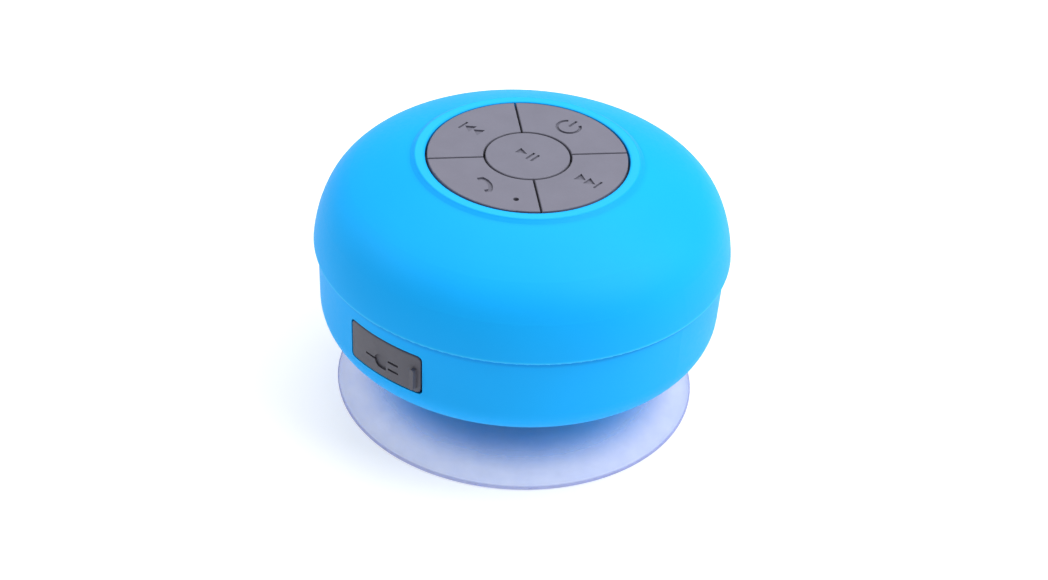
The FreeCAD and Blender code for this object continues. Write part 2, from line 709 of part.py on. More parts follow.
cases = []
for k, (x, y) in enumerate(sw):
    x, y = as_dim(x), as_dim(y)
    b = box("switch_cases", "case%d" % k, x - 3.0, x + 3.0, y - 3.0, y + 3.0, bz1, 51.7)
    c = cyl("switch_cases", "well%d" % k, x, y, 1.75, 50.35, 51.8)
    cases.append(cut("switch_cases%d" % k, b, c))
turned.append(group("switch_cases", cases))

mic = cyl("microphone", "can", mic_x, mic_y, 2.0, bz1, 49.7)
turned.append(group("microphone", [mic]))
boot = lathe("microphone_boot", [(2.05, 48.3), (2.85, 48.3), (2.85, 51.85), (0.6, 51.85), (0.6, 49.75), (2.05, 49.75)])
boot.Placement = FreeCAD.Placement(V(mic_x.val, mic_y.val, 0), FreeCAD.Rotation())
turned.append(boot)
turned.append(group("status_led", [box("status_led", "chip", 11.2, 12.8, -14.7, -13.9, bz1, 48.8)]))
turned.append(group("radio_chip", [box("radio_chip", "chip", 3.0, 10.0, -3.5, 3.5, 46.0, bz0)]))
turned.append(group("amplifier_chip", [box("amplifier_chip", "chip", -9.0, -4.0, 1.0, 5.0, 45.6, bz0)]))
turned.append(group("memory_and_crystal", [box("memory_and_crystal", "memory", -9.0, -4.0, -6.0, -2.0, 45.7, bz0), box("memory_and_crystal", "crystal", 12.0, 15.2, -1.25, 1.25, 46.2, bz0)]))
turned.append(group("power_inductors", [box("power_inductors", "coil0", -15.5, -11.5, 4.0, 8.0, 45.5, bz0), box("power_inductors", "coil1", -15.5, -11.5, -2.0, 2.0, 45.5, bz0)]))
turned.append(group("capacitor_cans", [cyl("capacitor_cans", "can0", -6.0, -18.5, 2.5, 41.6, bz0), cyl("capacitor_cans", "can1", 0.5, -18.5, 2.5, 41.6, bz0)]))
turned.append(group("battery_connector", [box("battery_connector", "shell", 5.0, 11.0, 16.8, 21.3, 42.8, bz0)]))
turned.append(group("speaker_connector", [box("speaker_connector", "shell", -11.0, -5.0, 16.8, 21.3, 42.8, bz0)]))


def screw_body(label, head_r, head_z0, head_z1, shank_r, tip):
    """A pan-head screw on the Z axis, driven upwards, with a cross recess."""
    b = lathe(label, [(0.0, head_z0), (head_r - 0.35, head_z0), (head_r, head_z0 + 0.35), (head_r, head_z1), (shank_r, head_z1), (shank_r, tip - 0.6), (0.3, tip), (0.0, tip)])
    d = (head_z1 - head_z0) * 0.55
    pocket(b, label, "cross", head_z0 - 0.5, head_z0 + d, [
        (0.25, -0.25), (1.0, -0.25), (1.0, 0.25), (0.25, 0.25), (0.25, 1.0), (-0.25, 1.0), (-0.25, 0.25), (-1.0, 0.25), (-1.0, -0.25), (-0.25, -0.25), (-0.25, -1.0), (0.25, -1.0)])
    check_cut(b, "cross")
    return b


def screw_set(label, places, *size):
    """One node with the same screw at each place."""
    b = screw_body(label + "_one", *size)
    parts.pop()
    b.Label = label + "_pattern_screw"
    links = []
    for k, (x, y) in enumerate(places):
        f = doc.addObject("Part::Feature", "%s_%d" % (label, k))
        doc.recompute()
        f.Shape = b.Shape.copy()
        f.Placement = FreeCAD.Placement(V(x, y, 0), FreeCAD.Rotation(V(0, 0, 1), 17.0 * k))
        links.append(f)
    return group(label, links)


screw_set("housing_screws", [polar_xy(boss_c.val, 45 + 90 * k) for k in range(4)], 2.3, 24.4, 25.98, 1.25, 41.5)
turned.append(screw_set("board_screws", [polar_xy(post_c.val, 90 + 120 * k) for k in range(3)], 1.9, 45.7, 46.98, 1.0, 51.3))
screw_set("base_screws", [polar_xy(plate_c.val, 45 + 90 * k) for k in range(4)], 2.1, 14.35, 15.15, 1.0, 20.4)

# ---------------------------------------------------------------------------------------
# Battery
# ---------------------------------------------------------------------------------------
cellb = new_body("battery_cell")
p, a = rounded_rect(-17.5, 17.5, -12.5, 12.5, 1.6)
pad(cellb, "battery_cell", "pouch", 40.05, 45.05, p, a)
check_cut(cellb, "pouch", less=False)
soften(cellb, "battery_cell", "edge", 0.9, lambda e: at_z(e, 40.05) or at_z(e, 45.05))
group("battery_pad", [box("battery_pad", "foam", -10.0, 10.0, -8.0, 8.0, 39.52, 40.03)])

# ---------------------------------------------------------------------------------------
# Loudspeaker, facing down
# ---------------------------------------------------------------------------------------
lathe("driver_gasket", [(17.2, 21.03), (20.3, 21.03), (20.3, 21.48), (17.2, 21.48)])
frame = lathe("driver_frame", [
    (16.9, 21.5), (20.4, 21.5), (20.4, 22.3), (19.2, 22.3), (19.2, 23.5), (14.3, 30.8), (14.3, 31.75), (6.95, 31.75), (6.95, 31.0), (13.5, 31.0), (13.5, 30.6), (18.4, 23.3), (18.4, 22.3), (16.9, 22.3)])
tp = pocket(frame, "driver_frame", "window", 24.2, 29.8, [(11.0, -5.5), (21.0, -6.5), (21.0, 6.5), (11.0, 5.5)])
polar(frame, tp, 4)
check_cut(frame, "frame windows", less=False)
lathe("driver_front_plate", [(7.05, 31.78), (13.2, 31.78), (13.2, 33.78), (7.05, 33.78)])
lathe("driver_magnet", [(8.0, 33.8), (14.0, 33.8), (14.2, 34.0), (14.2, 37.78), (14.0, 37.98), (8.0, 37.98)])
lathe("driver_yoke", [(0.0, 32.2), (5.8, 32.2), (6.0, 32.4), (6.0, 38.0), (13.0, 38.0), (13.2, 38.2), (13.2, 39.5), (0.0, 39.5)])
lathe("voice_coil", [(6.25, 27.55), (6.42, 27.55), (6.42, 31.6), (6.8, 31.6), (6.8, 34.4), (6.42, 34.4), (6.42, 35.9), (6.25, 35.9)])
lathe("driver_spider", [(6.85, 28.55), (8.2, 28.2), (9.6, 28.9), (11.0, 28.2), (12.4, 28.9), (13.6, 28.4), (14.6, 28.4), (14.6, 28.65), (13.65, 28.65), (12.4, 29.15), (11.0, 28.45), (9.6, 29.15), (8.2, 28.45), (6.85, 28.8)])
lathe("driver_cone", [(6.45, 27.0), (14.2, 22.6), (14.2, 23.0), (6.8, 27.5), (6.45, 27.5)])
lathe("driver_dust_cap", [(0.0, 25.35), (6.2, 27.0), (6.2, 27.25), (0.0, 25.65)], {0: (12.5, 1), 2: (12.8, -1)})
lathe("driver_surround", [(13.5, 22.33), (14.35, 22.33), (16.85, 22.33), (18.35, 22.33), (18.35, 22.55), (16.75, 22.55), (14.45, 22.55), (13.5, 22.55)],
      {1: (1.35, 1), 5: (1.26, -1)})
clamp = lathe("driver_clamp", [(19.6, 22.33), (21.6, 22.33), (21.6, 23.85), (19.6, 23.85)])
check_cut(clamp, "clamp ring", less=False)
tp = pad(clamp, "driver_clamp", "ear", 22.33, 23.85, [(20.6, -2.4), (clamp_c, -2.4), (clamp_c + 2.4, 0.0), (clamp_c, 2.4), (20.6, 2.4)], {1: (2.4, 1), 2: (2.4, 1)})
polar(clamp, tp, 3)
tp = pocket(clamp, "driver_clamp", "ear_hole", 22.0, 24.0, rounds=[(clamp_c, 0.0, 1.15)])
polar(clamp, tp, 3)
check_cut(clamp, "clamp ears", less=False)
b = lathe("driver_screws_one", [(0.0, 25.1), (1.65, 25.1), (2.0, 24.75), (2.0, 23.88), (1.0, 23.88), (1.0, 18.9), (0.3, 18.3), (0.0, 18.3)])
parts.pop()
pocket(b, "driver_screws_one", "cross", 24.5, 25.6, [
    (0.25, -0.25), (1.0, -0.25), (1.0, 0.25), (0.25, 0.25), (0.25, 1.0), (-0.25, 1.0), (-0.25, 0.25), (-1.0, 0.25), (-1.0, -0.25), (-0.25, -0.25), (-0.25, -1.0), (0.25, -1.0)])
b.Label = "driver_screws_pattern_screw"
doc.recompute()
links = []
for k in range(3):
    f = doc.addObject("Part::Feature", "driver_screws_%d" % k)
    f.Shape = b.Shape.copy()
    x, y = polar_xy(clamp_c.val, 120 * k)
    f.Placement = FreeCAD.Placement(V(x, y, 0), FreeCAD.Rotation(V(0, 0, 1), 25.0 * k))
    links.append(f)
group("driver_screws", links)
group("driver_terminals", [fuse("driver_terminals", [
    box("driver_terminals", "tag", -4.0, 4.0, 17.6, 18.5, 24.4, 29.6),
    box("driver_terminals", "lug0", -3.0, -1.6, 18.4, 18.8, 25.4, 28.6),
    box("driver_terminals", "lug1", 1.6, 3.0, 18.4, 18.8, 25.4, 28.6)])])

# ---------------------------------------------------------------------------------------
# Housing seal
# ---------------------------------------------------------------------------------------
seal = doc.addObject("Part::Torus", "housing_seal_torus")
seal.setExpression("Radius1", D("seal_radius", 38.87).txt)
seal.setExpression("Radius2", D("seal_section", 0.39).txt)
seal.Radius1, seal.Radius2 = 38.87, 0.39
seal.setExpression(".Placement.Base.z", D("seal_z", 34.05).txt)
keep(seal, "housing_seal")

# ---------------------------------------------------------------------------------------
# Charging board, its socket and the rubber flap
# ---------------------------------------------------------------------------------------
cb = box("charge_board", "board", -7.5, 7.5, -37.2, -26.6, 25.62, 26.6)
holes = fuse("charge_board_holes", [cyl("charge_board", "hole0", 5.0, -29.2, 1.0, 25.0, 27.0), cyl("charge_board", "hole1", -5.0, -29.2, 1.0, 25.0, 27.0)])
keep(cut("charge_board", cb, holes), "charge_board")
sh = box("charge_socket", "shell", -3.75, 3.75, -38.0, -32.4, 26.62, 29.1)
hol = box("charge_socket", "mouth", -3.45, 3.45, -38.1, -33.4, 26.92, 28.8)
tongue = box("charge_socket", "tongue", -1.9, 1.9, -37.6, -33.3, 27.95, 28.45)
keep(fuse("charge_socket", [cut("charge_socket", sh, hol), tongue]), "charge_socket")
b = lathe("charge_board_screws_one", [(0.0, 28.0), (1.3, 28.0), (1.55, 27.75), (1.55, 26.65), (0.8, 26.65), (0.8, 21.3), (0.2, 20.8), (0.0, 20.8)])
parts.pop()
pocket(b, "charge_board_screws_one", "cross", 27.4, 28.4, rect(-0.85, 0.85, -0.2, 0.2))
b.Label = "charge_board_pattern_screw"
doc.recompute()
links = []
for k, x in enumerate((-5.0, 5.0)):
    f = doc.addObject("Part::Feature", "charge_board_screws_%d" % k)
    f.Shape = b.Shape.copy()
    f.Placement = FreeCAD.Placement(V(x, -29.2, 0), FreeCAD.Rotation(V(0, 0, 1), 30.0 + 50 * k))
    links.append(f)
group("charge_board_screws", links)

# The flap: a curved plate with the band's taper, a plug on its inside that closes the
# port, and a finger ridge near its free end.  It is hinged at its left end.
flap_a = D("flap_angle", 25.5)
flap_o, flap_i = D("flap_outer_radius", 41.95), D("flap_inner_radius", 40.65)
fz0, fz1 = D("flap_low_z", 23.0), D("flap_high_z", 31.95)
tap = D("flap_taper", 0.34)
flap = lathe("port_flap", [(-(flap_i - 0.0), fz0), (-(flap_o - tap), fz0), (-flap_o, fz1), (-flap_i, fz1)], role="YZ_Plane", angle=flap_a, sym=True)
check_cut(flap, "flap plate", less=False)


def flap_corner(e):
    """Short radial edges at the flap's four corners."""
    bb = e.BoundBox
    return e.Length < 1.6 and bb.ZLength < 0.02 and (bb.XLength > 0.05 or True) and (at_z(e, fz0.val) or at_z(e, fz1.val))


soften(flap, "port_flap", "corner", 1.05, flap_corner)
soften(flap, "port_flap", "rim", 0.28, lambda e: (e.BoundBox.Center.sub(V(0, 0, e.BoundBox.Center.z)).Length > 40.75 and
       all(math.hypot(v.X, v.Y) > flap_i.val + 0.5 for v in e.Vertexes)))
p, a = rounded_rect(D("plug_left_x", -5.1), D("plug_right_x", 5.1), D("plug_low_z", 24.65), D("plug_high_z", 30.95), D("plug_corner", 0.6))
pad(flap, "port_flap", "plug", 38.35, 40.9, p, a, role="XZ_Plane")
check_cut(flap, "plug", less=False)
pocket(flap, "port_flap", "plug_core", 38.0, 39.8, rect(-3.9, 3.9, 25.6, 30.0), role="XZ_Plane")
check_cut(flap, "plug core")
p, a = rounded_rect(7.3, 8.4, 24.0, 28.9, 0.45)
pad(flap, "port_flap", "ridge", 40.8, 41.95, p, a, role="XZ_Plane")
check_cut(flap, "ridge", less=False)
# generic mark on the flap: a two-pin plug with its lead
pocket(flap, "port_flap", "mark_lead", 41.25, 43.0, rect(-4.7, -1.0, 26.25, 26.7), role="XZ_Plane")
check_cut(flap, "mark lead")
pocket(flap, "port_flap", "mark_plug", 41.25, 43.0, [(-1.0, 24.85), (0.9, 24.85), (0.9, 28.1), (-1.0, 28.1)], {3: (1.72, 1)}, role="XZ_Plane")
check_cut(flap, "mark plug")
pocket(flap, "port_flap", "mark_pin0", 41.25, 43.0, rect(1.4, 4.0, 25.3, 25.8), role="XZ_Plane")
pocket(flap, "port_flap", "mark_pin1", 41.25, 43.0, rect(1.4, 4.0, 27.15, 27.65), role="XZ_Plane")
check_cut(flap, "mark pins")

teth = lathe("flap_tether", [(-40.42, 25.0), (-41.02, 25.0), (-41.02, 30.6), (-40.42, 30.6)], role="YZ_Plane", angle=D("tether_angle", 5.6), sym=True)
teth.Placement = FreeCAD.Placement(V(0, 0, 0), FreeCAD.Rotation(V(0, 0, 1), -(12.75 + 0.75 + 2.8)))

# ---------------------------------------------------------------------------------------
# Leads: straight runs joined by tangent arcs
# ---------------------------------------------------------------------------------------


def route(points, radii):
    P = [V(*p) for p in points]
    edges, start = [], P[0]
    for i in range(1, len(P) - 1):
        u = P[i].sub(P[i - 1]).normalize()
        w = P[i + 1].sub(P[i]).normalize()
        turn = u.getAngle(w)
        d = radii[i - 1] * math.tan(turn / 2)
        a, c = P[i].sub(V(u).multiply(d)), P[i].add(V(w).multiply(d))
        bis = V(w).sub(u).normalize()
        centre = P[i].add(V(bis).multiply(radii[i - 1] / math.cos(turn / 2)))
        mid = centre.sub(V(bis).multiply(radii[i - 1]))
        if a.sub(start).Length > 1e-4:
            edges.append(Part.LineSegment(start, a).toShape())
        edges.append(Part.Arc(a, mid, c).toShape())
        start = c
    edges.append(Part.LineSegment(start, P[-1]).toShape())
    return Part.Wire(edges)


def lead(label, points, dia, r=2.0):
    rr = []
    for i in range(1, len(points) - 1):
        a, b, c = V(*points[i - 1]), V(*points[i]), V(*points[i + 1])
        shorter = min(a.sub(b).Length, c.sub(b).Length)
        turn = b.sub(a).getAngle(c.sub(b))
        rr.append(min(r, 0.45 * shorter / math.tan(turn / 2)))
    w = route(points, rr)
    start = V(*points[0])
    direction = V(*points[1]).sub(start)
    circle = Part.Wire([Part.Circle(start, direction, dia / 2).toShape()])
    pipe = w.makePipeShell([circle], True, False)
    area = math.pi * dia * dia / 4
    if abs(pipe.Volume / (area * w.Length) - 1) > 0.02 or not pipe.isValid():
        raise RuntimeError("lead %s: volume %.2f for %.2f" % (label, pipe.Volume, area * w.Length))
    return pipe


lead_d = D("lead_diameter", 1.1)


def lead_node(label, routes):
    links = []
    for k, pts_ in enumerate(routes):
        f = doc.addObject("Part::Feature", "%s_%d" % (label, k))
        f.Shape = lead(label, pts_, lead_d.val, 2.2)
        links.append(f)
    return group(label, links)


lead_node("battery_lead_red", [[(17.54, -3.0, 42.9), (20.6, -3.0, 42.9), (24.4, 2.0, 43.0), (24.6, 10.0, 43.6), (20.6, 17.0, 44.6), (16.0, 19.9, 45.0), (11.3, 20.2, 45.0)]])
lead_node("battery_lead_black", [[(17.54, 1.0, 42.3), (20.0, 1.0, 42.3), (21.8, 5.0, 42.2), (20.9, 11.0, 42.6), (17.6, 15.8, 43.5), (14.4, 17.6, 43.9), (11.3, 17.9, 44.0)]])
lead_node("speaker_leads", [
    [(-2.3, 18.85, 27.6), (-2.3, 22.2, 27.8), (-3.4, 23.2, 33.0), (-6.0, 23.6, 38.5), (-6.9, 24.2, 42.6), (-6.9, 23.4, 44.9), (-6.9, 21.35, 45.2)],
    [(2.3, 18.85, 27.6), (2.2, 22.6, 27.9), (-0.4, 24.6, 33.0), (-6.0, 26.2, 38.5), (-9.0, 26.4, 42.6), (-9.3, 24.2, 44.9), (-9.3, 21.35, 45.2)]])
lead_node("charge_leads", [
    [(-1.5, -26.9, 26.62), (-1.5, -26.6, 30.0), (-2.4, -25.6, 35.0), (-2.6, -24.4, 40.5), (-2.6, -24.0, 46.98)],
    [(1.0, -26.9, 26.62), (1.0, -26.8, 30.0), (1.4, -26.0, 35.0), (2.2, -24.6, 40.5), (2.4, -24.0, 46.98)]])

# ---------------------------------------------------------------------------------------
# Everything on the key pad's side turns with it
# ---------------------------------------------------------------------------------------
turn = FreeCAD.Placement(V(0, 0, 0), FreeCAD.Rotation(V(0, 0, 1), key_turn.val))
for o in turned:
    o.Placement = turn.multiply(o.Placement)

doc.recompute()

# ---------------------------------------------------------------------------------------
# Check and write
# ---------------------------------------------------------------------------------------
bad = []
for o in doc.Objects:
    if any(s in ("Invalid", "Error") for s in o.State):
        bad.append("%s: %s" % (o.Label, o.State))
for label, o in parts:
    s = o.Shape
    if s.isNull() or not s.isValid() or not s.Solids:
        bad.append("%s: shape not usable" % label)
if bad:
    raise RuntimeError("; ".join(bad))

os.makedirs("parts", exist_ok=True)
for f in os.listdir("parts"):
    if f.endswith(".step"):
        os.remove(os.path.join("parts", f))
for label, o in parts:
    o.Shape.exportStep(os.path.join("parts", label + ".step"))
    print("%-22s solids %d volume %10.2f" % (label, len(o.Shape.Solids), sum(q.Volume for q in o.Shape.Solids)))
print(len(parts), "nodes;", sheet_rows["n"], "cells")
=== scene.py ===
import math

import bmesh
import bpy
from mathutils import Matrix, Vector


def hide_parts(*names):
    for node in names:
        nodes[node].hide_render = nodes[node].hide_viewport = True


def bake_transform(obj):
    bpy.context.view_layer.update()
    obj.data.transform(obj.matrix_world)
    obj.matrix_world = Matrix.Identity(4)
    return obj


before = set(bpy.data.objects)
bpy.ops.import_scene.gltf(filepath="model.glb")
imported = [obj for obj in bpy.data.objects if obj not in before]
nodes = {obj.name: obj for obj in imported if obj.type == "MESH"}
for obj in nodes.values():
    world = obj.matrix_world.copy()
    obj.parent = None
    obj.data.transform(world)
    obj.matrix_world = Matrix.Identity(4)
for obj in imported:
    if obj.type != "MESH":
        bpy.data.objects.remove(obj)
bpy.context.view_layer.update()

scene = bpy.context.scene
scene.view_settings.view_transform = "Standard"
scene.view_settings.look = "None"
MM = 0.001
SEAM_Z = 0.0357


# ------------------------------------------------------------------ node helpers
class Mat:
    """A procedural material in object coordinates, which are metres in the part's frame."""

    def __init__(self, name):
        self.m = bpy.data.materials.new(name)
        self.m.use_nodes = True
        self.t = self.m.node_tree
        self.bsdf = self.t.nodes["Principled BSDF"]
        self.out = self.t.nodes["Material Output"]
        self.co = self.node("ShaderNodeTexCoord").outputs["Object"]
        self._xyz = None

    def node(self, kind, **props):
        n = self.t.nodes.new(kind)
        for k, v in props.items():
            setattr(n, k, v)
        return n

    def link(self, a, b):
        self.t.links.new(a, b)

    def put(self, socket, value):
        if isinstance(value, bpy.types.NodeSocket):
            self.link(value, socket)
        else:
            socket.default_value = value

    def set(self, **kw):
        for k, v in kw.items():
            self.put(self.bsdf.inputs[k.replace("_", " ")], v)
        return self

    def math(self, op, a, b=None, c=None, clamp=False):
        n = self.node("ShaderNodeMath", operation=op, use_clamp=clamp)
        self.put(n.inputs[0], a)
        if b is not None:
            self.put(n.inputs[1], b)
        if c is not None:
            self.put(n.inputs[2], c)
        return n.outputs[0]

    def xyz(self):
        if self._xyz is None:
            n = self.node("ShaderNodeSeparateXYZ")
            self.link(self.co, n.inputs[0])
            self._xyz = n.outputs
        return self._xyz

    def radius(self):
        x, y, _ = self.xyz()
        return self.math("SQRT", self.math("ADD", self.math("MULTIPLY", x, x), self.math("MULTIPLY", y, y)))

    def angle(self):
        x, y, _ = self.xyz()
        return self.math("ARCTAN2", y, x)

    def stretch(self, x, y, z, spin=0.0):
        n = self.node("ShaderNodeMapping")
        self.link(self.co, n.inputs["Vector"])
        n.inputs["Scale"].default_value = (x, y, z)
        n.inputs["Rotation"].default_value = (0, 0, spin)
        return n.outputs[0]

    def noise(self, scale, detail=3.0, rough=0.55, vector=None):
        n = self.node("ShaderNodeTexNoise")
        self.link(vector or self.co, n.inputs["Vector"])
        n.inputs["Scale"].default_value = scale
        n.inputs["Detail"].default_value = detail
        n.inputs["Roughness"].default_value = rough
        return n.outputs["Fac"]

    def voronoi(self, scale, feature="F1", vector=None):
        n = self.node("ShaderNodeTexVoronoi", feature=feature)
        self.link(vector or self.co, n.inputs["Vector"])
        n.inputs["Scale"].default_value = scale
        return n.outputs["Distance"]

    def span(self, v, a, b, lo=0.0, hi=1.0, smooth=False):
        n = self.node("ShaderNodeMapRange", interpolation_type="SMOOTHSTEP" if smooth else "LINEAR", clamp=True)
        self.put(n.inputs["Value"], v)
        n.inputs["From Min"].default_value = a
        n.inputs["From Max"].default_value = b
        n.inputs["To Min"].default_value = lo
        n.inputs["To Max"].default_value = hi
        return n.outputs["Result"]

    def mix(self, fac, a, b):
        n = self.node("ShaderNodeMix", data_type="RGBA")
        self.put(n.inputs["Factor"], fac)
        self.put(n.inputs["A"], a if isinstance(a, bpy.types.NodeSocket) else (*a, 1.0)[:4])
        self.put(n.inputs["B"], b if isinstance(b, bpy.types.NodeSocket) else (*b, 1.0)[:4])
        return n.outputs["Result"]

    def bump(self, height, distance, strength=1.0, under=None):
        n = self.node("ShaderNodeBump")
        self.put(n.inputs["Height"], height)
        n.inputs["Distance"].default_value = distance
        n.inputs["Strength"].default_value = strength
        if under is not None:
            self.link(under, n.inputs["Normal"])
        return n.outputs["Normal"]

    def saw(self, v, pitch):
        return self.math("PINGPONG", v, pitch * 0.5)


def shade(c, k):
    return tuple(min(1.0, x * k) for x in c)


def plain(name, col, rough=0.5, metal=0.0, vary=0.12, grain=900.0, bump=0.00002, spread=120.0, spec=0.5, coat=0.0, rough_vary=0.12):
    """Moulded or cast stuff: two scales of colour change, a changing gloss and a fine grain."""
    m = Mat(name)
    wide, fine = m.noise(spread, 3.0), m.noise(grain, 4.0, 0.6)
    c = m.mix(m.span(wide, 0.3, 0.7), shade(col, 1 - vary), shade(col, 1 + vary))
    c = m.mix(m.span(fine, 0.35, 0.75, 0.0, 0.5), c, shade(col, 1 - vary * 1.6))
    m.set(Base_Color=c, Roughness=m.span(fine, 0.25, 0.75, rough - rough_vary, rough + rough_vary), Metallic=metal,
          Specular_IOR_Level=spec, Coat_Weight=coat, Normal=m.bump(fine, bump))
    return m


# ------------------------------------------------------------------ materials
def make_skin():
    """Soft-touch silicone: an even colour with faint flow marks and a dry fine grain. A painted highlight lightens the
    rolled rim at the foot of the dome and the raised ring round the keys, and painted shade darkens the step under the
    rim, the groove outside the ring and the recess the keys sit in."""
    m = Mat("skin_silicone")
    col = (0.007, 0.410, 0.965)
    x, y, z = m.xyz()
    r = m.radius()
    wide = m.noise(28.0, 2.0)
    fine = m.noise(5200.0, 2.0, 0.6)
    dust = m.noise(900.0, 4.0, 0.7)
    c = m.mix(m.span(wide, 0.3, 0.7), shade(col, 0.965), shade(col, 1.03))
    c = m.mix(m.span(dust, 0.62, 0.80, 0.0, 0.07), c, (0.10, 0.50, 0.96))
    # painted highlight: a lighter band on the rolled rim at the foot of the dome, its strength varied by the dust noise
    seam_highlight = m.math("MULTIPLY", m.span(z, SEAM_Z - 0.00010, SEAM_Z + 0.00012, smooth=True), m.span(z, SEAM_Z + 0.00030, SEAM_Z + 0.00085, 1.0, 0.0, True))
    seam_highlight = m.math("MULTIPLY", seam_highlight, m.span(dust, 0.25, 0.6, 0.42, 0.72))
    c = m.mix(seam_highlight, c, (0.06, 0.60, 1.0))
    # painted shadow: a darker band on the step just under the rolled rim
    step_shadow = m.math("MULTIPLY", m.span(z, SEAM_Z - 0.00150, SEAM_Z - 0.00060, smooth=True), m.span(z, SEAM_Z - 0.00020, SEAM_Z - 0.00005, 1.0, 0.0, True))
    c = m.mix(m.math("MULTIPLY", step_shadow, 0.45), c, (0.004, 0.20, 0.60))
    # painted highlight: a lighter band on the raised ring round the keys
    lip = m.math("MULTIPLY", m.span(r, 0.0208, 0.0214, smooth=True), m.span(r, 0.0225, 0.0228, 1.0, 0.0, True))
    c = m.mix(m.math("MULTIPLY", lip, 0.32), c, (0.05, 0.54, 1.0))
    # painted shade: a darker band in the groove just outside the raised ring
    ring_groove_shade = m.math("MULTIPLY", m.span(r, 0.0227, 0.0230, smooth=True), m.span(r, 0.0234, 0.0247, 1.0, 0.0, True))
    c = m.mix(m.math("MULTIPLY", m.math("MULTIPLY", ring_groove_shade, m.span(z, 0.050, 0.051)), 0.24), c, (0.004, 0.24, 0.70))
    # painted shade: darker inside the ring, in the recess the keys sit in
    key_recess_shade = m.math("MULTIPLY", m.span(r, 0.02085, 0.0206), m.span(z, 0.0500, 0.0510))
    c = m.mix(m.math("MULTIPLY", key_recess_shade, 0.6), c, (0.004, 0.16, 0.50))
    m.set(Base_Color=c, Roughness=m.span(dust, 0.3, 0.7, 0.46, 0.56), Specular_IOR_Level=0.08,
          Sheen_Weight=0.03, Sheen_Roughness=0.4, Sheen_Tint=(0.4, 0.8, 1.0, 1.0),
          Normal=m.bump(fine, 0.000012, 0.7, m.bump(wide, 0.00004, 0.4)))
    return m.m


def make_key():
    """Grey silicone of the keys, with painted shade darkening its cut marks a little and the gaps between keys more."""
    m = Mat("key_silicone")
    col = (0.164, 0.162, 0.213)
    z = m.xyz()[2]
    # painted shade: darker below the key tops, a little in the cut marks and more in the gaps between keys
    key_gap_shade = m.math("ADD", m.span(z, 0.05595, 0.05620, 0.30, 0.0), m.span(z, 0.0553, 0.0557, 0.7, 0.0))
    fine = m.noise(4600.0, 2.0, 0.6)
    wide = m.noise(160.0, 3.0)
    dust = m.noise(1100.0, 4.0, 0.7)
    c = m.mix(m.span(wide, 0.3, 0.7), shade(col, 0.96), shade(col, 1.04))
    c = m.mix(m.span(dust, 0.62, 0.8, 0.0, 0.12), c, (0.28, 0.275, 0.33))
    c = m.mix(key_gap_shade, c, shade(col, 0.55))
    m.set(Base_Color=c, Roughness=m.span(dust, 0.3, 0.7, 0.52, 0.64), Specular_IOR_Level=0.35,
          Sheen_Weight=0.08, Sheen_Roughness=0.5, Normal=m.bump(fine, 0.000014, 0.8))
    return m.m


def make_flap():
    m = Mat("flap_rubber")
    col = (0.087, 0.086, 0.110)
    fine = m.noise(4200.0, 2.0, 0.6)
    wide = m.noise(220.0, 3.0)
    dust = m.noise(1300.0, 4.0, 0.7)
    c = m.mix(m.span(wide, 0.3, 0.7), shade(col, 0.93), shade(col, 1.07))
    c = m.mix(m.span(dust, 0.6, 0.8, 0.0, 0.16), c, (0.19, 0.185, 0.22))
    m.set(Base_Color=c, Roughness=m.span(dust, 0.3, 0.7, 0.46, 0.60), Specular_IOR_Level=0.4, Normal=m.bump(fine, 0.000018, 0.8))
    return m.m


def make_cup():
    """Clear PVC with a blue cast: the thin skirt lets the surface below show, and it holds more and more colour as it
    thickens towards the hub, where the strong blue is also a painted shadow and reflection of the blue body above. The
    rim is a thin violet line."""
    m = Mat("cup_pvc")
    r = m.radius()
    rim = m.span(r, 0.03735, 0.0376)
    # darker blue towards the hub: tint of the thicker PVC, and painted shadow and reflection of the blue body above it
    hub_tint_and_shadow = m.span(r, 0.0345, 0.0235, smooth=True)
    graze = m.node("ShaderNodeLayerWeight")
    graze.inputs["Blend"].default_value = 0.35
    haze = m.noise(260.0, 4.0, 0.6)
    ring = m.saw(r, 0.00042)
    c = m.mix(m.span(haze, 0.3, 0.7), (0.16, 0.31, 0.78), (0.20, 0.35, 0.84))
    c = m.mix(hub_tint_and_shadow, c, (0.03, 0.50, 1.0))
    c = m.mix(rim, c, (0.14, 0.17, 0.58))
    a = m.math("ADD", m.span(haze, 0.3, 0.7, 0.15, 0.20), m.math("MULTIPLY", graze.outputs["Facing"], 0.12))
    a = m.math("ADD", a, m.math("MULTIPLY", hub_tint_and_shadow, 0.57))
    a = m.math("ADD", a, m.math("MULTIPLY", rim, 0.34), clamp=True)
    m.set(Base_Color=c, Roughness=m.span(haze, 0.3, 0.7, 0.16, 0.26), Specular_IOR_Level=0.4, Alpha=a,
          Normal=m.bump(haze, 0.00003, 0.5, m.bump(ring, 0.00001, 0.5)))
    return m.m


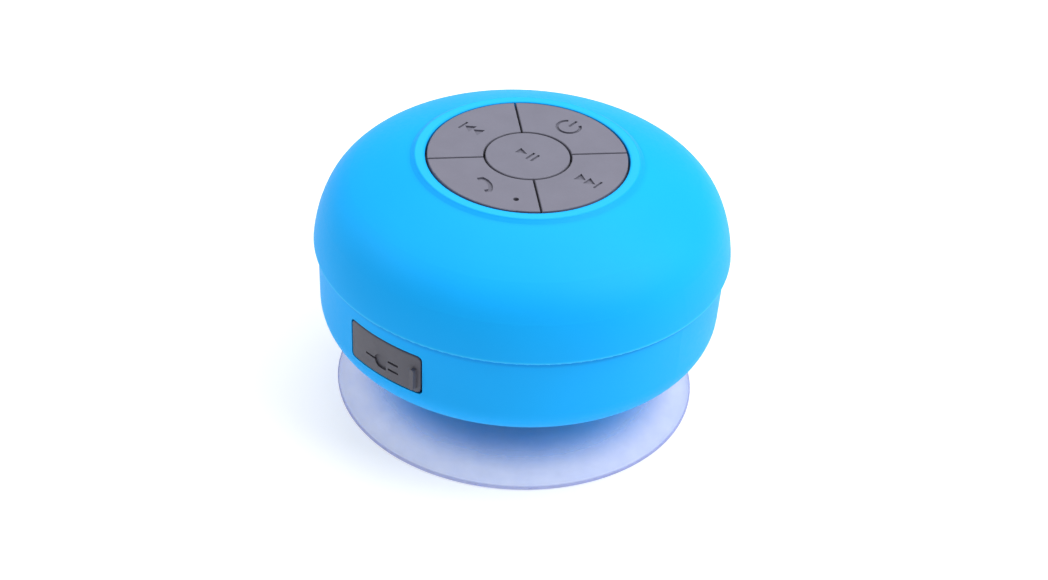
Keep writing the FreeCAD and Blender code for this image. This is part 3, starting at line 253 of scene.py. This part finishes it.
def make_board():
    """Solder mask with copper runs under it, pads and printed white ticks."""
    m = Mat("board_mask")
    a = m.node("ShaderNodeTexBrick", offset=0.35, squash=1.0)
    m.link(m.stretch(1, 1, 1, 0.785), a.inputs["Vector"])
    a.inputs["Scale"].default_value = 420.0
    a.inputs["Mortar Size"].default_value = 0.035
    b = m.node("ShaderNodeTexBrick", offset=0.5)
    m.link(m.co, b.inputs["Vector"])
    b.inputs["Scale"].default_value = 190.0
    b.inputs["Mortar Size"].default_value = 0.02
    gate = m.span(m.noise(95.0, 2.0), 0.47, 0.50)
    runs = m.math("MULTIPLY", m.math("SUBTRACT", 1.0, a.outputs["Fac"]), gate)
    runs = m.math("SUBTRACT", 1.0, runs)
    via = m.span(m.voronoi(620.0), 0.16, 0.20, 1.0, 0.0)
    via = m.math("MULTIPLY", via, m.span(m.noise(300.0, 1.0), 0.52, 0.55))
    c = m.mix(a.outputs["Fac"], (0.012, 0.105, 0.045), (0.020, 0.165, 0.07))
    c = m.mix(gate, c, (0.010, 0.09, 0.04))
    c = m.mix(m.math("MULTIPLY", b.outputs["Fac"], m.span(m.noise(150.0, 1.0), 0.60, 0.62)), c, (0.72, 0.74, 0.70))
    c = m.mix(via, c, (0.75, 0.62, 0.30))
    m.set(Base_Color=c, Roughness=m.span(m.noise(800.0), 0.3, 0.7, 0.22, 0.36), Coat_Weight=0.3, Normal=m.bump(a.outputs["Fac"], 0.00003, 0.6))
    return m.m


def make_turned(name, col, rough=0.3, pitch=0.00012):
    """Turned metal: rings left by the tool, a little tarnish."""
    m = Mat(name)
    r = m.radius()
    ring = m.saw(r, pitch)
    tarnish = m.noise(420.0, 4.0, 0.65)
    c = m.mix(m.span(tarnish, 0.35, 0.75), col, shade(col, 0.72))
    m.set(Base_Color=c, Metallic=1.0, Roughness=m.span(tarnish, 0.3, 0.7, rough - 0.08, rough + 0.12), Normal=m.bump(ring, 0.00002, 0.5, m.bump(tarnish, 0.00001, 0.5)))
    return m.m


def make_screw():
    m = Mat("screw_zinc")
    z = m.xyz()[2]
    thread = m.saw(m.math("ADD", z, m.math("MULTIPLY", m.angle(), 0.0001)), 0.0006)
    spots = m.noise(1500.0, 4.0, 0.65)
    c = m.mix(m.span(spots, 0.35, 0.75), (0.66, 0.66, 0.70), (0.45, 0.44, 0.42))
    m.set(Base_Color=c, Metallic=1.0, Roughness=m.span(spots, 0.3, 0.7, 0.22, 0.42), Normal=m.bump(thread, 0.00012, 0.5))
    return m.m


def make_coil():
    m = Mat("coil_wire")
    z = m.xyz()[2]
    turns = m.saw(z, 0.00016)
    c = m.mix(m.span(turns, 0.0, 0.00008), (0.22, 0.07, 0.03), (0.80, 0.36, 0.17))
    c = m.mix(m.span(z, 0.0315, 0.0316, 1.0, 0.0), c, (0.55, 0.36, 0.16))
    m.set(Base_Color=c, Metallic=0.8, Roughness=m.span(turns, 0.0, 0.00008, 0.5, 0.25), Normal=m.bump(turns, 0.00008, 0.8))
    return m.m


def make_weave(name, col, pitch, metal=0.0, rough=0.8, turn=0.0, depth=0.00008):
    m = Mat(name)
    s = m.node("ShaderNodeSeparateXYZ")
    m.link(m.stretch(1, 1, 1, turn), s.inputs[0])
    w = m.math("MULTIPLY", m.saw(s.outputs[0], pitch), m.saw(s.outputs[1], pitch))
    h = m.span(w, 0.0, pitch * pitch * 0.25)
    dust = m.noise(700.0, 4.0, 0.7)
    c = m.mix(h, shade(col, 0.35), shade(col, 1.15))
    c = m.mix(m.span(dust, 0.5, 0.8, 0.0, 0.25), c, shade(col, 1.5))
    m.set(Base_Color=c, Roughness=m.span(dust, 0.3, 0.7, rough - 0.1, min(1.0, rough + 0.1)), Metallic=metal, Normal=m.bump(h, depth))
    return m.m


def make_cone():
    """Pressed paper: fibres, faint radial pull and a dark coating."""
    m = Mat("cone_paper")
    fibre = m.noise(1600.0, 6.0, 0.75, m.stretch(1.0, 1.0, 0.35))
    rays = m.saw(m.angle(), 0.045)
    c = m.mix(m.span(fibre, 0.35, 0.7), (0.045, 0.045, 0.05), (0.12, 0.118, 0.115))
    m.set(Base_Color=c, Roughness=m.span(fibre, 0.3, 0.7, 0.62, 0.85), Normal=m.bump(fibre, 0.00005, 0.6, m.bump(rays, 0.00003, 0.3)))
    return m.m


def make_cell():
    """Pouch foil under a clear sleeve with an amber tape at the lead end and printed grey bars."""
    m = Mat("cell_foil")
    x, y, z = m.xyz()
    crinkle = m.noise(260.0, 5.0, 0.7)
    tape = m.span(x, 0.0148, 0.0149)
    bars = m.math("MULTIPLY", m.span(m.saw(x, 0.0012), 0.00035, 0.0004), m.span(m.math("ABSOLUTE", m.math("ADD", y, 0.006)), 0.0020, 0.0021, 1.0, 0.0))
    bars = m.math("MULTIPLY", bars, m.span(m.math("ABSOLUTE", x), 0.0085, 0.0086, 1.0, 0.0))
    c = m.mix(m.span(crinkle, 0.3, 0.7), (0.56, 0.57, 0.60), (0.74, 0.75, 0.78))
    c = m.mix(bars, c, (0.10, 0.10, 0.12))
    c = m.mix(tape, c, (0.62, 0.30, 0.04))
    m.set(Base_Color=c, Metallic=m.math("MULTIPLY", m.math("SUBTRACT", 1.0, tape), 0.85), Roughness=m.span(crinkle, 0.3, 0.7, 0.22, 0.40), Normal=m.bump(crinkle, 0.0002, 0.5))
    return m.m


def make_rubber_ring(name, col=(0.018, 0.018, 0.02)):
    m = Mat(name)
    z = m.xyz()[2]
    dust = m.noise(1400.0, 4.0, 0.7)
    c = m.mix(m.span(dust, 0.55, 0.8, 0.0, 0.5), col, (0.10, 0.10, 0.11))
    m.set(Base_Color=c, Roughness=m.span(dust, 0.3, 0.7, 0.30, 0.5), Normal=m.bump(dust, 0.00002, 0.6))
    return m.m


def make_wire(name, col):
    m = Mat(name)
    print_ = m.noise(900.0, 4.0, 0.6)
    c = m.mix(m.span(print_, 0.35, 0.7), shade(col, 0.8), shade(col, 1.15))
    m.set(Base_Color=c, Roughness=m.span(print_, 0.3, 0.7, 0.32, 0.48), Normal=m.bump(m.noise(1800.0), 0.00001))
    return m.m


def make_moulded(name, col, rough=0.55):
    """Black ABS with a spark-eroded texture and faint flow lines."""
    m = Mat(name)
    spark = m.voronoi(2600.0)
    flow = m.noise(45.0, 3.0, 0.6, m.stretch(1.0, 3.0, 1.0))
    scuff = m.noise(700.0, 5.0, 0.75)
    c = m.mix(m.span(flow, 0.3, 0.7), shade(col, 0.88), shade(col, 1.12))
    c = m.mix(m.span(scuff, 0.66, 0.8, 0.0, 0.35), c, shade(col, 2.4))
    m.set(Base_Color=c, Roughness=m.span(scuff, 0.3, 0.7, rough - 0.1, rough + 0.1), Normal=m.bump(spark, 0.00003, 0.5))
    return m.m


M = {
    "skin": make_skin(), "key": make_key(), "flap": make_flap(), "cup": make_cup(), "board": make_board(),
    "abs": make_moulded("abs_black", (0.028, 0.029, 0.032)), "nylon": plain("nylon_ivory", (0.66, 0.63, 0.55), 0.42, vary=0.05).m,
    "epoxy": plain("chip_epoxy", (0.022, 0.022, 0.024), 0.55, grain=2600.0, bump=0.00003).m,
    "ferrite": plain("ferrite", (0.055, 0.055, 0.06), 0.6, metal=0.2, grain=1800.0, bump=0.00006, vary=0.2).m,
    "nickel": plain("nickel_shell", (0.74, 0.73, 0.70), 0.24, metal=1.0, vary=0.06, grain=600.0, bump=0.00001, rough_vary=0.08).m,
    "can": plain("can_aluminium", (0.78, 0.78, 0.80), 0.30, metal=1.0, vary=0.05, grain=1500.0, bump=0.00001).m,
    "led": plain("led_epoxy", (0.62, 0.80, 0.95), 0.12, vary=0.05, coat=0.4, bump=0.000004, rough_vary=0.05).m,
    "foam": plain("foam_black", (0.03, 0.03, 0.034), 0.9, grain=2400.0, bump=0.0002, vary=0.35, spec=0.2, rough_vary=0.05).m,
    "fibre": plain("fibre_board", (0.30, 0.17, 0.07), 0.7, grain=2200.0, bump=0.00004, vary=0.2).m,
    "screw": make_screw(), "iron": make_turned("turned_iron", (0.60, 0.60, 0.63)), "coil": make_coil(),
    "steel_black": plain("frame_paint", (0.03, 0.03, 0.033), 0.38, vary=0.15, grain=3000.0, bump=0.00003).m,
    "mesh": make_weave("acoustic_mesh", (0.05, 0.05, 0.055), 0.00022, rough=0.7),
    "spider": make_weave("spider_cloth", (0.58, 0.33, 0.10), 0.0004, rough=0.75, turn=0.4),
    "cone": make_cone(), "cell": make_cell(), "oring": make_rubber_ring("nitrile"), "surround": make_rubber_ring("surround_rubber", (0.022, 0.022, 0.024)),
    "red": make_wire("wire_red", (0.55, 0.016, 0.014)), "black": make_wire("wire_black", (0.02, 0.02, 0.022)),
}

LOOK = {
    "silicone_skin": "skin", "upper_housing": "abs", "lower_housing": "abs", "base_plate": "abs", "splash_mesh": "mesh", "cup_stud": "abs", "stud_o_ring": "oring",
    "keypad_mat": "key", "play_key": "key", "next_key": "key", "previous_key": "key", "power_key": "key", "phone_key": "key",
    "play_switch_stem": "epoxy", "next_switch_stem": "epoxy", "power_switch_stem": "epoxy", "previous_switch_stem": "epoxy", "phone_switch_stem": "epoxy",
    "main_board": "board", "switch_cases": "nickel", "microphone": "can", "microphone_boot": "oring", "status_led": "led",
    "radio_chip": "epoxy", "amplifier_chip": "epoxy", "memory_and_crystal": "epoxy", "power_inductors": "ferrite", "capacitor_cans": "can",
    "battery_connector": "nylon", "speaker_connector": "nylon", "housing_screws": "screw", "board_screws": "screw", "base_screws": "screw",
    "battery_cell": "cell", "battery_pad": "foam", "driver_gasket": "foam", "driver_frame": "steel_black", "driver_front_plate": "iron", "driver_magnet": "ferrite",
    "driver_yoke": "iron", "voice_coil": "coil", "driver_spider": "spider", "driver_cone": "cone", "driver_dust_cap": "cone", "driver_surround": "surround",
    "driver_clamp": "abs", "driver_screws": "screw", "driver_terminals": "fibre", "housing_seal": "oring", "charge_board": "board", "charge_socket": "nickel",
    "charge_board_screws": "screw", "battery_lead_red": "red", "battery_lead_black": "black", "speaker_leads": "black", "charge_leads": "red",
    "suction_cup": "cup", "port_flap": "flap", "flap_tether": "flap",
}
for n, look in LOOK.items():
    o = nodes[n]
    o.data.materials.clear()
    o.data.materials.append(M[look])


# ------------------------------------------------------------------ mesh helpers
def curve_through(pts, n=10):
    """Points on a smooth line through pts, in millimetres."""
    out = []
    P = [pts[0]] + list(pts) + [pts[-1]]
    for i in range(1, len(P) - 2):
        p0, p1, p2, p3 = P[i - 1], P[i], P[i + 1], P[i + 2]
        for k in range(n):
            t = k / n
            out.append(tuple(0.5 * (2 * b + (c - a) * t + (2 * a - 5 * b + 4 * c - d) * t * t + (3 * b - a - 3 * c + d) * t ** 3)
                             for a, b, c, d in zip(p0, p1, p2, p3)))
    out.append(tuple(pts[-1]))
    return out


def lathe(name, prof, seg=240, material=None):
    """Turns a closed or pole-to-pole profile, (radius, height) in mm."""
    bm = bmesh.new()
    rings = []
    for r, z in prof:
        if r < 1e-6:
            rings.append([bm.verts.new((0, 0, z * MM))])
        else:
            rings.append([bm.verts.new((r * MM * math.cos(2 * math.pi * k / seg), r * MM * math.sin(2 * math.pi * k / seg), z * MM)) for k in range(seg)])
    pairs = list(zip(rings, rings[1:]))
    if prof[0][0] > 1e-6 and prof[-1][0] > 1e-6:
        pairs.append((rings[-1], rings[0]))
    for a, b in pairs:
        for k in range(seg):
            j = (k + 1) % seg
            if len(a) == 1:
                bm.faces.new((a[0], b[j], b[k]))
            elif len(b) == 1:
                bm.faces.new((a[k], a[j], b[0]))
            else:
                bm.faces.new((a[k], a[j], b[j], b[k]))
    bmesh.ops.recalc_face_normals(bm, faces=bm.faces[:])
    me = bpy.data.meshes.new(name)
    bm.to_mesh(me)
    bm.free()
    for f in me.polygons:
        f.use_smooth = True
    o = bpy.data.objects.new(name, me)
    scene.collection.objects.link(o)
    if material:
        me.materials.append(material)
    return o


# ------------------------------------------------------------------ suction cup
under = curve_through([(0.0, 9.0), (5.0, 8.9), (8.8, 8.45), (13.0, 7.4), (17.5, 6.05), (22.5, 4.4), (27.5, 2.8), (31.5, 1.5), (34.4, 0.62)], 6)
land = [(34.9, 0.42), (35.25, 0.18), (35.55, 0.04), (35.8, 0.0), (36.4, 0.0), (37.0, 0.0), (37.3, 0.02), (37.52, 0.10), (37.64, 0.22), (37.69, 0.40), (37.70, 0.58), (37.66, 0.76), (37.54, 0.93), (37.35, 1.06)]
over = curve_through([(37.1, 1.17), (34.0, 2.12), (30.5, 3.32), (26.0, 4.98), (21.5, 6.8), (17.8, 8.5), (14.4, 10.25), (12.3, 11.45), (11.2, 12.1), (10.3, 12.5), (9.6, 12.6)], 6)
hub = [(5.2, 12.6), (4.7, 12.5), (4.55, 12.3), (4.55, 11.75), (4.62, 11.6), (4.8, 11.55), (6.9, 11.55), (7.03, 11.5), (7.05, 11.3), (7.05, 10.45), (7.0, 10.28), (6.8, 10.25), (0.0, 10.25)]
cup = lathe("suction_cup_soft", under + land + over + hub, 288, M["cup"])
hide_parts("suction_cup")
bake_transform(cup)

# ------------------------------------------------------------------ the flap's tether
def strap(name, a0, a1, z0, z1, seg=56):
    """A moulded strip along the band, from angle a0 to a1 counted from -Y towards +X, with a thin
    neck where it bends, rounded long edges and a lip at its anchored end."""
    bm = bmesh.new()
    rows = []
    for k in range(seg + 1):
        t = k / seg
        deg = a0 + (a1 - a0) * t
        neck = math.exp(-((deg + 13.15) / 0.42) ** 2)
        half = 0.30 - 0.13 * neck
        if t < 0.05:
            half *= 0.55 + 9.0 * t
        mid = 40.72 + 0.30 * max(0.0, min(1.0, (deg + 13.9) / 1.3))
        tall = 0.5 * (z1 - z0) - (0.35 * (1.0 - min(1.0, t / 0.12)) ** 2)
        zc, c = 0.5 * (z0 + z1), min(0.22, half * 0.8)
        q = [(half, tall - c), (half * 0.72, tall - c * 0.3), (half * 0.3, tall), (-half * 0.3, tall), (-half * 0.72, tall - c * 0.3), (-half, tall - c),
             (-half, 0.0), (-half, -tall + c), (-half * 0.72, -tall + c * 0.3), (-half * 0.3, -tall), (half * 0.3, -tall), (half * 0.72, -tall + c * 0.3), (half, -tall + c), (half, 0.0)]
        a = math.radians(deg)
        rows.append([bm.verts.new(((mid + u) * MM * math.sin(a), -(mid + u) * MM * math.cos(a), (zc + v) * MM)) for u, v in q])
    n = len(rows[0])
    for p, q in zip(rows, rows[1:]):
        for k in range(n):
            bm.faces.new((p[k], p[(k + 1) % n], q[(k + 1) % n], q[k]))
    bm.faces.new(rows[0])
    bm.faces.new(rows[-1])
    bmesh.ops.recalc_face_normals(bm, faces=bm.faces[:])
    me = bpy.data.meshes.new(name)
    bm.to_mesh(me)
    bm.free()
    for f in me.polygons:
        f.use_smooth = len(f.vertices) == 4
    o = bpy.data.objects.new(name, me)
    scene.collection.objects.link(o)
    return o


tether = strap("flap_tether_strip", -19.0, -12.15, 25.05, 30.55)
tether.data.materials.append(M["flap"])
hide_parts("flap_tether")
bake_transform(tether)

# ------------------------------------------------------------------ floor, lights, camera
floor_m = Mat("floor_paper")
fn = floor_m.noise(30.0, 3.0)
floor_m.set(Base_Color=floor_m.mix(fn, (0.60, 0.60, 0.60), (0.63, 0.63, 0.63)), Roughness=0.85, Specular_IOR_Level=0.2,
            Emission_Color=(1.0, 1.0, 1.0, 1.0), Emission_Strength=0.54)
bm = bmesh.new()
bmesh.ops.create_circle(bm, cap_ends=True, segments=96, radius=6.0)
me = bpy.data.meshes.new("floor")
bm.to_mesh(me)
bm.free()
floor = bpy.data.objects.new("floor", me)
me.materials.append(floor_m.m)
floor.location = (0, 0, -0.00002)
scene.collection.objects.link(floor)

world = bpy.data.worlds.new("studio")
scene.world = world
world.use_nodes = True
world.node_tree.nodes["Background"].inputs["Color"].default_value = (1.0, 1.0, 1.0, 1.0)
world.node_tree.nodes["Background"].inputs["Strength"].default_value = 0.25

VIEW_AZ = 38.8


def lamp(name, az, el, dist, size, watts, colour=(1, 1, 1), size_y=None):
    """A soft box at an azimuth counted like the camera's, aimed at the object."""
    a, e = math.radians(az), math.radians(el)
    d = bpy.data.lights.new(name, "AREA")
    d.energy, d.size, d.color = watts, size, colour
    if size_y:
        d.shape, d.size_y = "RECTANGLE", size_y
    o = bpy.data.objects.new(name, d)
    back = Vector((math.sin(a) * math.cos(e), -math.cos(a) * math.cos(e), math.sin(e)))
    o.location = Vector((0, 0, 0.03)) + back * dist
    o.rotation_mode = "QUATERNION"
    o.rotation_quaternion = back.to_track_quat("Z", "Y")
    scene.collection.objects.link(o)
    return o


lamp("key", VIEW_AZ + 80, 48, 0.9, 0.7, 7.4)
lamp("top", VIEW_AZ + 170, 72, 0.9, 0.8, 5.2)
lamp("left", VIEW_AZ - 95, 34, 0.9, 0.5, 2.3)

cam_d = bpy.data.cameras.new("camera")
cam = bpy.data.objects.new("camera", cam_d)
scene.collection.objects.link(cam)
cam_d.sensor_width = 36.0
cam_d.lens = 2510.581 / 1048 * 36.0
cam_d.shift_x = 3.753 / 1048
cam_d.shift_y = -12.669 / 1048
a, e = math.radians(VIEW_AZ), math.radians(35.161)
back = Vector((math.sin(a) * math.cos(e), -math.cos(a) * math.cos(e), math.sin(e)))
cam.location = Vector((0, 0, 0.026169)) + back * 0.523126
cam.rotation_mode = "QUATERNION"
cam.rotation_quaternion = (-back).to_track_quat("-Z", "Y") @ Matrix.Rotation(math.radians(3.522), 4, "Z").to_quaternion()
cam_d.clip_start, cam_d.clip_end = 0.01, 50.0
scene.camera = cam
